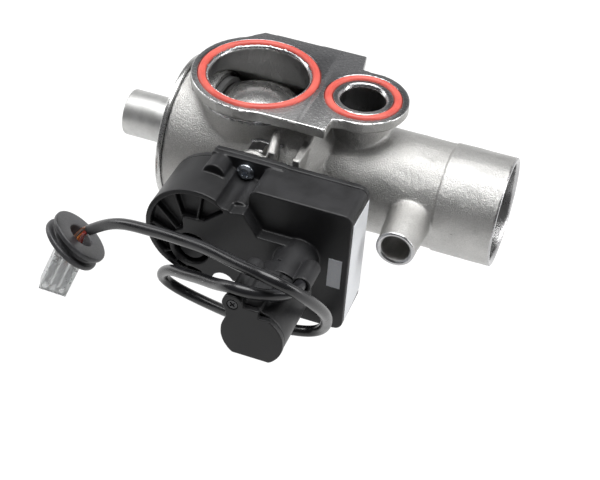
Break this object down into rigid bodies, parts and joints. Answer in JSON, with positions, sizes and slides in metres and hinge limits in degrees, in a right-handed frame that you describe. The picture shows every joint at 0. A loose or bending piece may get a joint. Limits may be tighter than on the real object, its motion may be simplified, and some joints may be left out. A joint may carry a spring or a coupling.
{
  "type": "motorised diverter valve",
  "caption": "Cast stainless three-way ball valve with a two-port sealing flange, side nozzle, and a black geared motor drive with its lead and plug.",
  "frame": {"origin": "centre of the large port, in the sealing face of the flange", "axes": "+X along the outlet tube toward its open end, +Z out of the flange face, +Y away from the motor drive"},
  "size_m": [0.1968, 0.1517, 0.0982],
  "materials": {
    "cast_steel": "shot-blasted investment-cast stainless steel with machined faces",
    "turned_steel": "turned stainless steel",
    "polished_ball": "polished stainless steel",
    "bright_pin": "ground steel",
    "red_silicone": "matte silicone rubber",
    "black_rubber": "black rubber",
    "ptfe": "smooth white PTFE",
    "case_plastic": "black moulded plastic with a fine spark-eroded texture",
    "sleeve_plastic": "black moulded plastic",
    "gear_acetal": "natural acetal",
    "cam_nylon": "white nylon",
    "brass_pinion": "machined brass",
    "zinc_steel": "blue zinc-plated steel",
    "board_laminate": "green solder resist on glass laminate",
    "board_part_plastic": "moulded component bodies",
    "switch_plastic": "black thermoplastic",
    "plunger_plastic": "red thermoplastic",
    "label_paper": "white self-adhesive film with plain grey lines",
    "jacket_pvc": "satin black PVC jacket",
    "wire_red_pvc": "red PVC insulation",
    "wire_orange_pvc": "orange PVC insulation",
    "wire_brown_pvc": "brown PVC insulation",
    "grommet_rubber": "black moulded rubber",
    "clear_nylon": "translucent natural nylon",
    "tinned_terminal": "tin-plated brass"
  },
  "bodies": {
    "valve": {"valve_body": "cast_steel", "end_cap": "turned_steel", "cap_seal": "black_rubber", "seat_right": "ptfe", "seat_left": "ptfe", "seat_springs": "black_rubber", "thrust_washer": "ptfe", "stem_bush": "ptfe", "stem_rings": "black_rubber", "large_port_ring": "red_silicone", "small_port_ring": "red_silicone", "gear_case": "case_plastic", "back_cover": "case_plastic", "gear_axles": "bright_pin", "motor_can": "zinc_steel", "motor_sleeve": "sleeve_plastic", "motor_cap": "sleeve_plastic", "motor_cap_screw": "zinc_steel", "mount_screws": "zinc_steel", "cover_screws": "zinc_steel", "circuit_board": "board_laminate", "board_parts": "board_part_plastic", "closed_switch": "switch_plastic", "open_switch": "switch_plastic", "side_label": "label_paper", "front_label": "label_paper", "lead_jacket": "jacket_pvc", "wire_red": "wire_red_pvc", "wire_orange": "wire_orange_pvc", "wire_brown": "wire_brown_pvc", "grommet": "grommet_rubber", "plug_housing": "clear_nylon", "plug_terminals": "tinned_terminal"},
    "ball_drive": {"ball": "polished_ball", "stem": "bright_pin", "output_gear": "gear_acetal", "switch_cam": "cam_nylon"},
    "low_idler": {"low_idler": "gear_acetal"},
    "high_idler": {"high_idler": "gear_acetal"},
    "motor_rotor": {"motor_pinion": "brass_pinion", "motor_shaft": "bright_pin"},
    "closed_plunger": {"closed_plunger": "plunger_plastic"},
    "open_plunger": {"open_plunger": "plunger_plastic"}
  },
  "joints": [
    {"name": "valve_turn", "type": "hinge", "parent": "valve", "child": "ball_drive", "pos_m": [0, -0.05, -0.04], "axis": [0, 1, 0], "range_deg": [-180, 0]},
    {"name": "low_idler_turn", "type": "hinge", "parent": "valve", "child": "low_idler", "pos_m": [0.024, -0.05, -0.04], "axis": [0, 1, 0], "range_deg": [0, 540]},
    {"name": "high_idler_turn", "type": "hinge", "parent": "valve", "child": "high_idler", "pos_m": [0.03974, -0.05, -0.029], "axis": [0, 1, 0], "range_deg": [-1620, 0]},
    {"name": "motor_turn", "type": "hinge", "parent": "valve", "child": "motor_rotor", "pos_m": [0.044, -0.08, -0.04525], "axis": [0, 1, 0], "range_deg": [0, 4050]},
    {"name": "closed_press", "type": "slide", "parent": "valve", "child": "closed_plunger", "axis": [-1, 0, 0], "range_m": [0, 0.0006], "stiffness_N_per_m": 200, "springref_m": -0.001},
    {"name": "open_press", "type": "slide", "parent": "valve", "child": "open_plunger", "axis": [-1, 0, 0], "range_m": [0, 0.0006], "stiffness_N_per_m": 200, "springref_m": -0.001}
  ],
  "couplings": [
    {"joint": "low_idler_turn", "follows": "valve_turn", "ratio": -3},
    {"joint": "high_idler_turn", "follows": "valve_turn", "ratio": 9},
    {"joint": "motor_turn", "follows": "valve_turn", "ratio": -22.5}
  ]
}
